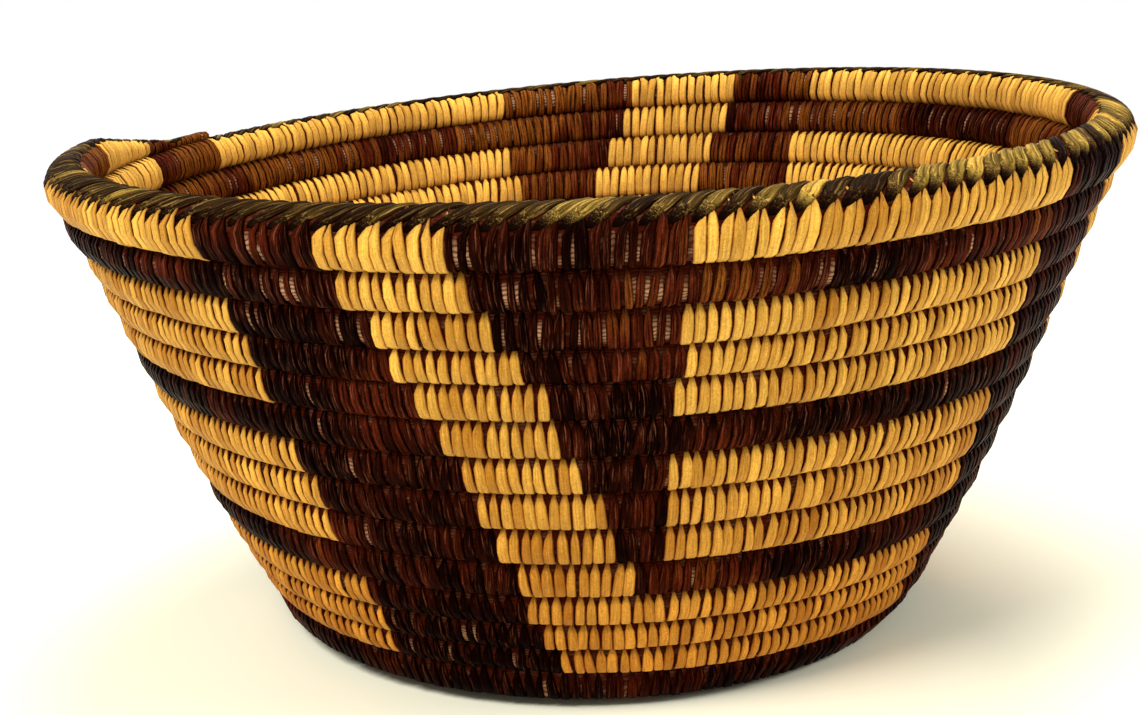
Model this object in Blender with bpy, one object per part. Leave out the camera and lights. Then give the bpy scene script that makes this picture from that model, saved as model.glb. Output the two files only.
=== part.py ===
"""Coiled and sewn bowl basket: one spiral foundation coil from the start knot to the rim,
sewn over with light and dark splints in a stepped fret that repeats four times round the bowl.

The coil is measured in turns from its tapered end on the rim, down the wall and in to the
start knot. Every sewn area is a set of runs of that coil. Neighbouring rounds of one area are
sewn through each other, so they are one body; areas of unlike splints keep a small gap.
"""
import math

import bmesh
import bpy
import numpy as np
from mathutils import Vector

MM = 0.001

# The coil
COIL_PITCH = 8.4 * MM
COIL_THICKNESS = 8.0 * MM
GROOVE_THICKNESS = 5.4 * MM
FOUNDATION_WIDTH = 5.2 * MM
FOUNDATION_CLEARANCE = 0.35 * MM
COIL_START_WIDTH = 3.0 * MM
COIL_END_WIDTH = 2.4 * MM
END_TAPER_TURNS = 0.07
AREA_GAP = 0.3 * MM

# The rim's round is thicker, and the coil thins to its own size over the start of the next
RIM_COIL_THICKNESS = 10.4 * MM
THINNING_TURNS = (1.0, 1.6)

# The first round is wider across the front and the next few even that out: the grooves under
# them lie lower there by these shares of the spread, by turns.
FRONT_SPREAD = 1.7 * MM
SPREAD_TURNS = (0.0, 2.4, 3.6)
SPREAD_SHARES = (1.0, 0.87, 0.0)

# Low on the wall the rounds are wide at first, then narrow, and the heel's round is wide
# again: by turns, how far up the wall the grooves lie from an even spacing
UNEVEN_TURNS = (6.3, 8.3, 9.3, 10.3, 11.3, 12.3, 13.3, 14.3)
UNEVEN_RISES = tuple(rise * MM for rise in (0.0, -0.6, -0.9, -0.3, 0.9, 2.4, -1.0, 0.0))

# The bowl, as the middle of its wall
KNOT_RADIUS = 4.4 * MM
BASE_FLAT = 59.9 * MM
HEEL_RADIUS = 7.0 * MM
WALL_LENGTH = 109.0 * MM
FOOT_ANGLE = math.radians(60.6)
RIM_ANGLE = math.radians(68.2)
WALL_BEND = 3.0
REST_FLAT_DEPTH = 0.5 * MM

# The bowl's own lean, which grows towards the rim: higher to the right and to the front.
# The rim also stands a little to the right of the base.
LEAN_RIGHT = 3.8 * MM
LEAN_FRONT = 6.0 * MM
LEAN_TWIST = 0.45 * MM
LEAN_POWER = 1.5
RIM_TO_THE_RIGHT = 1.5 * MM

# The rim binding, whose half-round section is given in shares of its thickness and half width
BINDING_THICKNESS = 1.3 * MM
BINDING_WIDTH = 8.4 * MM
BINDING_SECTION = ((0.0, 1.0), (0.55, 0.96), (1.0, 0.45))

# The start knot
KNOT_SEGMENTS = 12
KNOT_RINGS = 6

# Rounds and the sewn pattern, whose places are steps round the bowl from the coil's end
STEPS = 240
STATION = 12
SEAM_ANGLE = math.radians(-122.0)
SIDES = ("left", "front", "right", "back")
RIM_PANEL_ROUNDS = 1
SLANT_ROUNDS = 10
FRET_ROUNDS = 13
BAR_STARTS = (0.0, 55.0, 115.6, 180.0)
BAR_WIDTHS = (9.0, 9.2, 9.0, 7.0)
SLANT_WIDTHS = (9.6, 8.1, 8.0, 10.0)
STEPPED_ENDS = (31.0, 32.0, 29.4, 29.0)
HEEL_OVERLAP = 8
BASE_DARK_TURNS = 2.0

# How many steps to the right each edge moves from one round to the round under it
BAR_DRIFT = 0.3
SLANT_LEFT_DRIFT = 1.1
SLANT_RIGHT_DRIFT = 1.3
STEPPED_END_DRIFT = -0.14

DARK = (0.045, 0.032, 0.028)
LIGHT = (0.55, 0.38, 0.19)
GRASS = (0.42, 0.30, 0.15)
SPLINT_ROUGHNESS = 0.6
BINDING_ROUGHNESS = 0.55
GRASS_ROUGHNESS = 0.8

CHANNEL = ["channel_out", "channel_up", "channel_in", "channel_down"]
HEEL_ROUND = FRET_ROUNDS + 1
FIRST_LINE = RIM_PANEL_ROUNDS + 1
MIDDLE_LINE = (FIRST_LINE + SLANT_ROUNDS) // 2
LAST_LINE = SLANT_ROUNDS
HEEL_LENGTH = HEEL_RADIUS * FOOT_ANGLE
COIL_LENGTH = BASE_FLAT + HEEL_LENGTH + WALL_LENGTH
MIDDLE_HEIGHT = COIL_THICKNESS / 2 - REST_FLAT_DEPTH
FOUNDATION_RADIUS = FOUNDATION_WIDTH / 2
CHANNEL_RADIUS = FOUNDATION_RADIUS + FOUNDATION_CLEARANCE * math.sqrt(2)


def meridian(samples=2000):
    """The middle line of the bowl's wall, from the start knot to past the rim.

    Returns lengths along it with the radius, height and slope there. The slope is nothing on
    the base, turns through the heel's arc and then steepens a little up the wall.
    """
    length = np.linspace(0.0, COIL_LENGTH + 3 * COIL_PITCH, samples)
    up_wall = np.clip((length - BASE_FLAT - HEEL_LENGTH) / WALL_LENGTH, 0.0, 1.0)
    wall = FOOT_ANGLE + (RIM_ANGLE - FOOT_ANGLE) * (1.0 - (1.0 - up_wall) ** WALL_BEND)
    heel = np.clip((length - BASE_FLAT) / HEEL_RADIUS, 0.0, FOOT_ANGLE)
    slope = np.where(length < BASE_FLAT + HEEL_LENGTH, heel, wall)
    middle = (slope[1:] + slope[:-1]) / 2
    step = np.diff(length)
    radius = KNOT_RADIUS + np.concatenate([[0.0], np.cumsum(np.cos(middle) * step)])
    height = MIDDLE_HEIGHT + np.concatenate([[0.0], np.cumsum(np.sin(middle) * step)])
    return length, radius, height, slope


LENGTHS, RADII, HEIGHTS, SLOPES = meridian()
RIM_HEIGHT = float(np.interp(COIL_LENGTH, LENGTHS, HEIGHTS))


def lean(height, angle):
    """How far the bowl's warp lifts a point, growing with its height."""
    share = max(height / RIM_HEIGHT, 0.0) ** LEAN_POWER
    lift = LEAN_RIGHT * math.sin(angle) + LEAN_FRONT * math.cos(angle)
    return share * (lift - LEAN_TWIST * math.sin(2 * angle))


def wall_point(length, offset, angle):
    """A point of the bowl: so far along the meridian, offset outwards, at an angle that runs
    from the front to the right."""
    slope = float(np.interp(length, LENGTHS, SLOPES))
    radius = float(np.interp(length, LENGTHS, RADII)) + offset * math.sin(slope)
    height = float(np.interp(length, LENGTHS, HEIGHTS)) - offset * math.cos(slope)
    aside = RIM_TO_THE_RIGHT * max(height / RIM_HEIGHT, 0.0)
    height += lean(height, angle)
    return Vector((radius * math.sin(angle) + aside, -radius * math.cos(angle), height))


def coil_angle(turn):
    return SEAM_ANGLE + 2 * math.pi * turn


def coil_thickness(turn):
    share = float(np.interp(turn, THINNING_TURNS, (1.0, 0.0)))
    return COIL_THICKNESS + (RIM_COIL_THICKNESS - COIL_THICKNESS) * share


def front_spread(turn):
    """How much lower a groove lies across the front than an even spacing would put it."""
    share = float(np.interp(turn, SPREAD_TURNS, SPREAD_SHARES))
    return FRONT_SPREAD * share * max(math.cos(coil_angle(turn)), 0.0)


def uneven_rise(turn):
    """How much higher up the wall a groove lies than an even spacing would put it."""
    return float(np.interp(turn, UNEVEN_TURNS, UNEVEN_RISES))


def groove_length(turn):
    """Where the groove lies between the coil at this turn and the round under it. Above the
    first round it is the rim's top, which comes down along the tapered end."""
    if turn < 0:
        taper = min(1.0, max((turn + 1) / END_TAPER_TURNS, COIL_END_WIDTH / COIL_PITCH))
        return COIL_LENGTH - COIL_PITCH * (turn + 1.5 - taper)
    moved = uneven_rise(turn) - front_spread(turn)
    return max(COIL_LENGTH - COIL_PITCH * (turn + 0.5) + moved, 0.0)


def coil_start_turn():
    """The turn at which the coil starts by the knot, on a whole station."""
    turn = (COIL_LENGTH - COIL_START_WIDTH) / COIL_PITCH + 0.5
    return round(turn * STEPS / STATION) * STATION / STEPS


START_TURN = coil_start_turn()
START_STEP = round(START_TURN * STEPS)


def fullness(turn):
    """The coil's width at a turn, as a share of its pitch."""
    turn = min(max(turn, 0.0), START_TURN)
    return min(1.0, (groove_length(turn - 1) - groove_length(turn)) / COIL_PITCH)


def station_point(kind, step, shift):
    """One corner of the coil's section at a station, moved along the meridian by shift.

    kind is ridge_out, ridge_in, groove_out or groove_in, or one of the four corners of the
    foundation's channel.
    """
    turn = step / STEPS
    angle = coil_angle(turn)
    if kind.startswith("groove"):
        thin = min(fullness(turn), fullness(turn + 1)) if turn >= 0 else fullness(turn + 1)
        half = GROOVE_THICKNESS / 2 * math.sqrt(thin)
        return wall_point(groove_length(turn) + shift, half if kind == "groove_out" else -half, angle)
    length = (groove_length(turn - 1) + groove_length(turn)) / 2
    half = coil_thickness(turn) / 2 * math.sqrt(fullness(turn))
    if kind.startswith("ridge"):
        return wall_point(length, half if kind == "ridge_out" else -half, angle)
    reach = CHANNEL_RADIUS * fullness(turn)
    outwards = Vector((math.sin(angle), -math.cos(angle), 0.0))
    ways = {"channel_out": outwards, "channel_up": Vector((0, 0, 1))}
    ways.update({"channel_in": -outwards, "channel_down": Vector((0, 0, -1))})
    return wall_point(length, 0.0, angle) + ways[kind] * reach


def coil_point(kind, step, shift=0.0):
    """A corner of the coil anywhere, on the straight chord between its two stations."""
    low = math.floor(step / STATION) * STATION
    share = (step - low) / STATION
    first = station_point(kind, low, shift)
    if share < 1e-9:
        return first
    return first.lerp(station_point(kind, low + STATION, shift), share)


def run_of(round_number, first, last):
    """A run of the coil in one round, counted from the rim, between two steps."""
    base = STEPS * (round_number - 1)
    return base + first, base + last


def merged(runs):
    """The runs in order, with those that meet or overlap made one."""
    result = []
    for first, last in sorted(runs):
        if result and first <= result[-1][1]:
            result[-1] = (result[-1][0], max(result[-1][1], last))
        else:
            result.append((first, last))
    return result


def bar_left(repeat, round_number):
    """The left edge of a repeat's bar. The bar after the last repeat is the first one again,
    a whole turn on, so it lies one round lower."""
    if repeat == len(BAR_STARTS):
        return STEPS + bar_left(0, round_number + 1)
    return round(BAR_STARTS[repeat] + BAR_DRIFT * (round_number - 1))


def slant_left(repeat, round_number):
    """The bar's right edge, where the light slant starts."""
    start = BAR_STARTS[repeat] + BAR_WIDTHS[repeat]
    return round(start + SLANT_LEFT_DRIFT * (round_number - 1))


def slant_right(repeat, round_number):
    start = BAR_STARTS[repeat] + BAR_WIDTHS[repeat] + SLANT_WIDTHS[repeat]
    return round(start + SLANT_RIGHT_DRIFT * (round_number - 1))


def stepped_end(repeat, round_number):
    """The right edge of the stepped triangle, which always reaches over the round under it."""
    start = BAR_STARTS[repeat] + STEPPED_ENDS[repeat]
    end = round(start + STEPPED_END_DRIFT * (round_number - 1))
    return max(end, slant_right(repeat, round_number + 1) + 1)


class SewnArea:
    """The surface of a set of coil runs, with the foundation's channel through each run."""

    def __init__(self, runs):
        self.runs = merged(runs)
        self.mesh = bmesh.new()
        self.corners = {}

    def sewn(self, cell):
        return any(first <= cell < last for first, last in self.runs)

    def pushes(self, kind, step):
        """How a corner moves to leave the gap: along the coil, and along the meridian."""
        left, right = self.sewn(step - 1), self.sewn(step)
        if not kind.startswith("groove"):
            return (right - left), 0
        below_left, below_right = self.sewn(step - 1 + STEPS), self.sewn(step + STEPS)
        along = (right - left) or (below_right - below_left)
        across = (left - below_left) or (right - below_right)
        return along, across

    def corner(self, kind, step):
        key = (kind, step)
        if key not in self.corners:
            along, across = self.pushes(kind, step)
            here = coil_point(kind, step)
            stride = 2 * math.pi * math.hypot(here.x, here.y) / STEPS
            moved = step + along * AREA_GAP / 2 / stride
            self.corners[key] = self.mesh.verts.new(coil_point(kind, moved, across * AREA_GAP / 2))
        return self.corners[key]

    def strip(self, ridge_kind, ridge_steps, groove_kind, groove_steps, offset):
        """Triangles between a ridge and a groove beside it. The groove's corners are offset
        by a turn where it is the groove above."""
        a = b = 0
        while a < len(ridge_steps) - 1 or b < len(groove_steps) - 1:
            ahead_a = ridge_steps[a + 1] if a < len(ridge_steps) - 1 else math.inf
            ahead_b = groove_steps[b + 1] if b < len(groove_steps) - 1 else math.inf
            here = [self.corner(ridge_kind, ridge_steps[a])]
            here.append(self.corner(groove_kind, groove_steps[b] + offset))
            if ahead_a <= ahead_b:
                a += 1
                here.append(self.corner(ridge_kind, ridge_steps[a]))
            else:
                b += 1
                here.append(self.corner(groove_kind, groove_steps[b] + offset))
            self.mesh.faces.new(here)

    def cap(self, step):
        """The end of a run: a ring of triangles between the section and its channel."""
        section = [("groove_out", step - STEPS), ("ridge_out", step), ("groove_out", step)]
        section += [("groove_in", step), ("ridge_in", step), ("groove_in", step - STEPS)]
        channel = [(kind, step) for kind in CHANNEL]
        middle = coil_point("channel_up", step).lerp(coil_point("channel_down", step), 0.5)
        outwards = Vector((middle.x, middle.y, 0.0)).normalized()
        rings = []
        for names in (section, channel):
            ring = []
            for name in names:
                away = self.corner(*name).co - middle
                ring.append((math.atan2(away.z, away.dot(outwards)) % (2 * math.pi), name))
            rings.append(sorted(ring))
        outer, inner = rings
        count_out, count_in = len(outer), len(inner)
        a = b = 0
        while a < count_out or b < count_in:
            next_a = outer[(a + 1) % count_out][0] + 2 * math.pi * ((a + 1) // count_out)
            next_b = inner[(b + 1) % count_in][0] + 2 * math.pi * ((b + 1) // count_in)
            face = [self.corner(*outer[a % count_out][1]), self.corner(*inner[b % count_in][1])]
            if b >= count_in or (a < count_out and next_a <= next_b):
                a += 1
                face.append(self.corner(*outer[a % count_out][1]))
            else:
                b += 1
                face.append(self.corner(*inner[b % count_in][1]))
            self.mesh.faces.new(face)

    def add_run(self, first, last):
        stations = range(math.ceil(first / STATION) * STATION, last + 1, STATION)
        ridge = sorted({first, last} | set(stations))
        ends = [end for run in self.runs for end in run]
        above = sorted(set(ridge) | {end + STEPS for end in ends if first < end + STEPS < last})
        below = sorted(set(ridge) | {end - STEPS for end in ends if first < end - STEPS < last})
        for side in ("out", "in"):
            self.strip("ridge_" + side, ridge, "groove_" + side, above, -STEPS)
            self.strip("ridge_" + side, ridge, "groove_" + side, below, 0)
        for steps, neighbour, offset in ((above, -STEPS, -STEPS), (below, STEPS, 0)):
            for one, two in zip(steps, steps[1:]):
                if not self.sewn(one + neighbour):
                    edge = [("groove_out", one + offset), ("groove_out", two + offset)]
                    edge += [("groove_in", two + offset), ("groove_in", one + offset)]
                    self.mesh.faces.new([self.corner(*name) for name in edge])
        for one, two in zip(ridge, ridge[1:]):
            for kind, after in zip(CHANNEL, CHANNEL[1:] + CHANNEL[:1]):
                edge = [(kind, one), (after, one), (after, two), (kind, two)]
                self.mesh.faces.new([self.corner(*name) for name in edge])
        self.cap(first)
        self.cap(last)

    def build(self, name):
        for first, last in self.runs:
            self.add_run(first, last)
        bmesh.ops.recalc_face_normals(self.mesh, faces=self.mesh.faces[:])
        bmesh.ops.triangulate(self.mesh, faces=self.mesh.faces[:])
        data = bpy.data.meshes.new(name)
        self.mesh.to_mesh(data)
        self.mesh.free()
        return data


def splint_material(name, colour, roughness):
    material = bpy.data.materials.new(name)
    material.use_nodes = True
    shader = material.node_tree.nodes["Principled BSDF"]
    shader.inputs["Base Color"].default_value = (*colour, 1.0)
    shader.inputs["Roughness"].default_value = roughness
    shader.inputs["Metallic"].default_value = 0.0
    return material


def add_object(name, data, colour, roughness, collection, parent):
    data.materials.clear()
    data.materials.append(splint_material(name + "_finish", colour, roughness))
    thing = bpy.data.objects.new(name, data)
    thing.parent = parent
    collection.objects.link(thing)
    return thing


def fret_runs(repeat):
    """One dark fret: its stepped triangle, its three lines, the bar they end on and its part
    of the dark heel round."""
    next_bar = (repeat + 1) % len(BAR_STARTS)
    runs = []
    for number in range(1, SLANT_ROUNDS):
        runs.append(run_of(number, slant_right(repeat, number), stepped_end(repeat, number)))
    for number in (FIRST_LINE, MIDDLE_LINE, LAST_LINE):
        runs.append(run_of(number, slant_right(repeat, number), bar_left(repeat + 1, number)))
    for number in range(1, HEEL_ROUND + 1):
        runs.append(run_of(number, bar_left(next_bar, number), slant_left(next_bar, number)))
    heel_start = slant_left(repeat, HEEL_ROUND)
    runs.append(run_of(HEEL_ROUND, heel_start, bar_left(repeat + 1, HEEL_ROUND)))
    if next_bar == 0:
        runs.append((heel_end() - HEEL_OVERLAP, heel_end()))
    return runs


def heel_end():
    """The step of the coil where the dark heel round ends, past its own start."""
    return STEPS * (HEEL_ROUND - 1) + bar_left(len(BAR_STARTS), HEEL_ROUND) + HEEL_OVERLAP


def slant_runs(repeat):
    """The slanting light band and the light rounds above the heel that it runs into."""
    runs = []
    for number in range(1, FRET_ROUNDS + 1):
        end = bar_left(repeat + 1, number)
        if number <= SLANT_ROUNDS:
            end = slant_right(repeat, number)
        runs.append(run_of(number, slant_left(repeat, number), end))
    return runs


def panel_runs(repeat, first_round, last_round):
    """A light panel between the stepped triangle and the next bar."""
    runs = []
    for number in range(first_round, last_round + 1):
        runs.append(run_of(number, stepped_end(repeat, number), bar_left(repeat + 1, number)))
    return runs


def foundation_turns():
    return [step / STEPS for step in range(0, START_STEP + 1, STATION)]


def foundation_middle(turn):
    length = (groove_length(turn - 1) + groove_length(turn)) / 2
    return wall_point(length, 0.0, coil_angle(turn))


def foundation_radius(turn):
    """The bundle thins with the coil at both ends and keeps its clearance in the channel."""
    return CHANNEL_RADIUS * fullness(turn) - (CHANNEL_RADIUS - FOUNDATION_RADIUS)


def foundation_coil():
    """The foundation bundle: one unbroken spiral tube from the knot to the rim's end."""
    curve = bpy.data.curves.new("foundation_coil", "CURVE")
    curve.dimensions = "3D"
    curve.twist_mode = "Z_UP"
    curve.bevel_depth = FOUNDATION_RADIUS
    curve.bevel_resolution = 0
    curve.use_fill_caps = True
    turns = foundation_turns()
    spline = curve.splines.new("POLY")
    spline.points.add(len(turns) - 1)
    for point, turn in zip(spline.points, turns):
        point.co = (*foundation_middle(turn), 1.0)
        point.radius = foundation_radius(turn) / FOUNDATION_RADIUS
    return curve


def as_mesh_object(curve, name, colour, roughness, collection, parent):
    """A curve made a mesh, with its caps welded to its tube."""
    holder = bpy.data.objects.new(name + "_curve", curve)
    collection.objects.link(holder)
    bpy.context.view_layer.update()
    seen = holder.evaluated_get(bpy.context.evaluated_depsgraph_get())
    data = bpy.data.meshes.new_from_object(seen)
    place = holder.matrix_world.copy()
    bpy.data.objects.remove(holder)
    bpy.data.curves.remove(curve)
    mesh = bmesh.new()
    mesh.from_mesh(data)
    bmesh.ops.remove_doubles(mesh, verts=mesh.verts[:], dist=1e-6)
    bmesh.ops.recalc_face_normals(mesh, faces=mesh.faces[:])
    mesh.to_mesh(data)
    mesh.free()
    thing = add_object(name, data, colour, roughness, collection, parent)
    thing.matrix_local = place
    return thing


def least_gap_of_coil():
    """The least gap between loops of the foundation, measured on its points."""
    turns = np.array(foundation_turns())
    points = np.array([foundation_middle(turn) for turn in turns])
    radii = np.array([foundation_radius(turn) for turn in turns])
    least = math.inf
    for index, turn in enumerate(turns):
        far = turns > turn + 0.5
        if far.any():
            apart = np.linalg.norm(points[far] - points[index], axis=1)
            least = min(least, float((apart - radii[far] - radii[index]).min()))
    return least


def binding_section(turn):
    """The half-round section of the binding, on the rim's top at a station."""
    half = BINDING_WIDTH / 2
    profile = [(rise, -half * wide) for rise, wide in BINDING_SECTION]
    profile += [(rise, half * wide) for rise, wide in reversed(BINDING_SECTION)]
    size = math.sqrt(fullness(turn))
    foot = groove_length(turn - 1) + AREA_GAP
    section = []
    for rise, side in profile:
        length = foot + rise * BINDING_THICKNESS * size
        section.append(wall_point(length, side * size, coil_angle(turn)))
    return section


def rim_binding():
    """The overcast strip that lies along the rim, from the coil's tip round to just short
    of the tip again."""
    sections = [binding_section(step / STEPS) for step in range(0, STEPS + 1, STATION)]
    before, end = sections[-2:]
    short = AREA_GAP / (end[0] - before[0]).length
    sections[-1] = [two.lerp(one, short) for one, two in zip(before, end)]
    mesh = bmesh.new()
    return mesh, [[mesh.verts.new(point) for point in section] for section in sections]


def loft(mesh, rings, name):
    """A closed body through a row of like sections."""
    for one, two in zip(rings, rings[1:]):
        for index in range(len(one)):
            after = (index + 1) % len(one)
            mesh.faces.new([one[index], one[after], two[after], two[index]])
    mesh.faces.new(rings[0])
    mesh.faces.new(rings[-1])
    bmesh.ops.recalc_face_normals(mesh, faces=mesh.faces[:])
    bmesh.ops.triangulate(mesh, faces=mesh.faces[:])
    data = bpy.data.meshes.new(name)
    mesh.to_mesh(data)
    mesh.free()
    return data


def centre_of_rim():
    """The middle of the rim's outline seen from above, which the origin lies under."""
    points = [p for step in range(0, STEPS + 1, STATION) for p in binding_section(step / STEPS)]
    wide = [p.x for p in points]
    deep = [p.y for p in points]
    return Vector(((min(wide) + max(wide)) / 2, (min(deep) + max(deep)) / 2, 0.0))


def start_knot():
    """The knot that the coil starts from: a low round button."""
    mesh = bmesh.new()
    bmesh.ops.create_uvsphere(mesh, u_segments=KNOT_SEGMENTS, v_segments=KNOT_RINGS, radius=1.0)
    across = KNOT_RADIUS - AREA_GAP
    high = COIL_THICKNESS / 2
    bmesh.ops.scale(mesh, verts=mesh.verts[:], vec=(across, across, high))
    bmesh.ops.translate(mesh, verts=mesh.verts[:], vec=(0.0, 0.0, MIDDLE_HEIGHT))
    data = bpy.data.meshes.new("start_knot")
    mesh.to_mesh(data)
    mesh.free()
    return data


def floor_cutter(collection):
    """The block under the bowl that cuts its base flat where it rests."""
    side = 2 * (KNOT_RADIUS + BASE_FLAT + HEEL_RADIUS + COIL_THICKNESS)
    depth = COIL_THICKNESS
    mesh = bmesh.new()
    bmesh.ops.create_cube(mesh, size=1.0)
    bmesh.ops.scale(mesh, verts=mesh.verts[:], vec=(side, side, depth))
    bmesh.ops.translate(mesh, verts=mesh.verts[:], vec=(0.0, 0.0, -depth / 2))
    data = bpy.data.meshes.new("floor_cutter")
    mesh.to_mesh(data)
    mesh.free()
    cutter = bpy.data.objects.new("floor_cutter", data)
    cutter.hide_render = True
    cutter.display_type = "WIRE"
    collection.objects.link(cutter)
    return cutter


def rest_flat(thing, cutter):
    cut = thing.modifiers.new("rest_flat", "BOOLEAN")
    cut.operation = "DIFFERENCE"
    cut.solver = "EXACT"
    cut.object = cutter


def main():
    for thing in list(bpy.data.objects):
        bpy.data.objects.remove(thing)
    parts = bpy.data.collections.new("coiled_basket")
    cutters = bpy.data.collections.new("coiled_basket_cutters")
    bpy.context.scene.collection.children.link(parts)
    bpy.context.scene.collection.children.link(cutters)
    basket = bpy.data.objects.new("basket", None)
    basket.location = -centre_of_rim()
    parts.objects.link(basket)
    bpy.context.view_layer.update()
    cutter = floor_cutter(cutters)

    resting = []
    for repeat, side in enumerate(SIDES):
        areas = {
            "dark_fret_" + side: (fret_runs(repeat), DARK),
            "light_slant_" + side: (slant_runs(repeat), LIGHT),
            "light_rim_panel_" + side: (panel_runs(repeat, 1, FIRST_LINE - 1), LIGHT),
            "light_upper_panel_" + side: (panel_runs(repeat, FIRST_LINE + 1, MIDDLE_LINE - 1), LIGHT),
            "light_lower_panel_" + side: (panel_runs(repeat, MIDDLE_LINE + 1, LAST_LINE - 1), LIGHT),
        }
        for name, (runs, colour) in areas.items():
            data = SewnArea(runs).build(name)
            thing = add_object(name, data, colour, SPLINT_ROUGHNESS, parts, basket)
            if name.startswith("dark_fret"):
                resting.append(thing)

    base_dark_start = START_STEP - round(BASE_DARK_TURNS * STEPS)
    light = SewnArea([(heel_end(), base_dark_start)]).build("base_light_rounds")
    dark = SewnArea([(base_dark_start, START_STEP)]).build("base_dark_rounds")
    base = (("base_light_rounds", light, LIGHT), ("base_dark_rounds", dark, DARK))
    for name, data, colour in base + (("start_knot", start_knot(), DARK),):
        resting.append(add_object(name, data, colour, SPLINT_ROUGHNESS, parts, basket))
    for thing in resting:
        rest_flat(thing, cutter)

    as_mesh_object(foundation_coil(), "foundation_coil", GRASS, GRASS_ROUGHNESS, parts, basket)
    mesh, rings = rim_binding()
    binding = loft(mesh, rings, "rim_binding")
    add_object("rim_binding", binding, DARK, BINDING_ROUGHNESS, parts, basket)
    print(f"foundation turns {START_TURN:.2f}, least gap to itself {least_gap_of_coil() * 1000:.2f} mm")


main()
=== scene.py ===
import math

import bpy
import numpy as np
from bpy.props import FloatProperty, FloatVectorProperty, IntProperty, PointerProperty
from mathutils import Matrix, Vector


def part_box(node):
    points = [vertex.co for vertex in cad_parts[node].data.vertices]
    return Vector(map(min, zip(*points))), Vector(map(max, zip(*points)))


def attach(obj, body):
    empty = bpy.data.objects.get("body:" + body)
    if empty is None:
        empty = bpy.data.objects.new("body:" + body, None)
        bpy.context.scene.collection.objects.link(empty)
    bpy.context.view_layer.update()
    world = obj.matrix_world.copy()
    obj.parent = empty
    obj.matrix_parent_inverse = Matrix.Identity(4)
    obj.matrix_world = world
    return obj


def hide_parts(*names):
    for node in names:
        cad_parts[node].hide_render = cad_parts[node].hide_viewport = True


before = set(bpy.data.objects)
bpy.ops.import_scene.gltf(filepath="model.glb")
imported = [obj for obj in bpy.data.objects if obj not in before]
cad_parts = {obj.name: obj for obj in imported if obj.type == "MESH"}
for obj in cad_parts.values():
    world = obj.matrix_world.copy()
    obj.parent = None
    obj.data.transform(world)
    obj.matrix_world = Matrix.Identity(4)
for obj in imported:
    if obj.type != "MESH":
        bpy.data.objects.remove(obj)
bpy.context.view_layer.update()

bl_info = {
    "name": "Coiled bowl basket",
    "version": (1, 0, 0),
    "blender": (4, 5, 0),
    "location": "3D View > Sidebar > Basket",
    "description": "Sews a coiled bowl basket round its foundation coil, splint by splint",
    "category": "Object",
}

MM = 0.001

# The sewn pattern: places are steps round the bowl from the coil's end, and each drift is how
# many steps to the right an edge moves from one round to the round under it
STEPS = 240
SIDES = ("left", "front", "right", "back")
FIRST_LINE = 2
MIDDLE_LINE = 6
LAST_LINE = 10
FRET_ROUNDS = 13
HEEL_ROUND = FRET_ROUNDS + 1
BAR_STARTS = (0.0, 55.0, 115.6, 180.0)
BAR_WIDTHS = (9.0, 9.2, 9.0, 7.0)
SLANT_WIDTHS = (9.6, 8.1, 8.0, 10.0)
STEPPED_ENDS = (31.0, 32.0, 29.4, 29.0)
HEEL_OVERLAP = 8
BAR_DRIFT = 0.33
SLANT_LEFT_DRIFT = 1.06
SLANT_RIGHT_DRIFT = 1.3
STEPPED_END_DRIFT = -0.14

# Where the grooves lie lower across the front: turns, and shares of the spread there. Low on
# the wall they also leave an even spacing all round: turns, and rises up the wall.
SPREAD_TURNS = (0.0, 2.4, 3.6)
SPREAD_SHARES = (1.0, 0.87, 0.0)
UNEVEN_TURNS = (6.3, 8.3, 9.3, 10.3, 11.3, 12.3, 13.3, 14.3)
UNEVEN_RISES = tuple(rise * MM for rise in (0.0, -0.6, -0.9, -0.3, 0.9, 2.4, -1.0, 0.0))


def a_length(name, millimetres, description):
    return FloatProperty(name=name, description=description, default=millimetres * MM,
                         unit="LENGTH")


def an_angle(name, degrees, description):
    return FloatProperty(name=name, description=description, default=math.radians(degrees),
                         subtype="ANGLE")


def a_number(name, value, description):
    return FloatProperty(name=name, description=description, default=value)


def a_colour(name, value, description):
    return FloatVectorProperty(name=name, description=description, default=value,
                               subtype="COLOR")


class CoilSizes(bpy.types.PropertyGroup):
    pitch: a_length("Pitch", 8.4, "From one round of the coil to the next")
    thickness: a_length("Thickness", 8.0, "Through the wall at a round's middle")
    rim_thickness: a_length("Rim thickness", 10.4, "Through the wall at the rim's round")
    thinning_start: a_number("Thinning starts", 1.0,
                             "Turn from which the coil thins from the rim's size")
    thinning_end: a_number("Thinning ends", 1.6, "Turn at which the coil has its own size")
    front_spread: a_length("Front spread", 1.7,
                           "How much wider the rounds by the rim are in front")
    start_width: a_length("Start width", 3.0, "Width of the coil at the knot")
    end_width: a_length("End width", 2.4, "Width of the coil's tip on the rim")
    end_taper: a_number("End taper", 0.07, "Turns over which the coil's end thins")
    base_dark_turns: a_number("Dark base turns", 2.0, "Turns of dark sewing round the knot")


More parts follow.
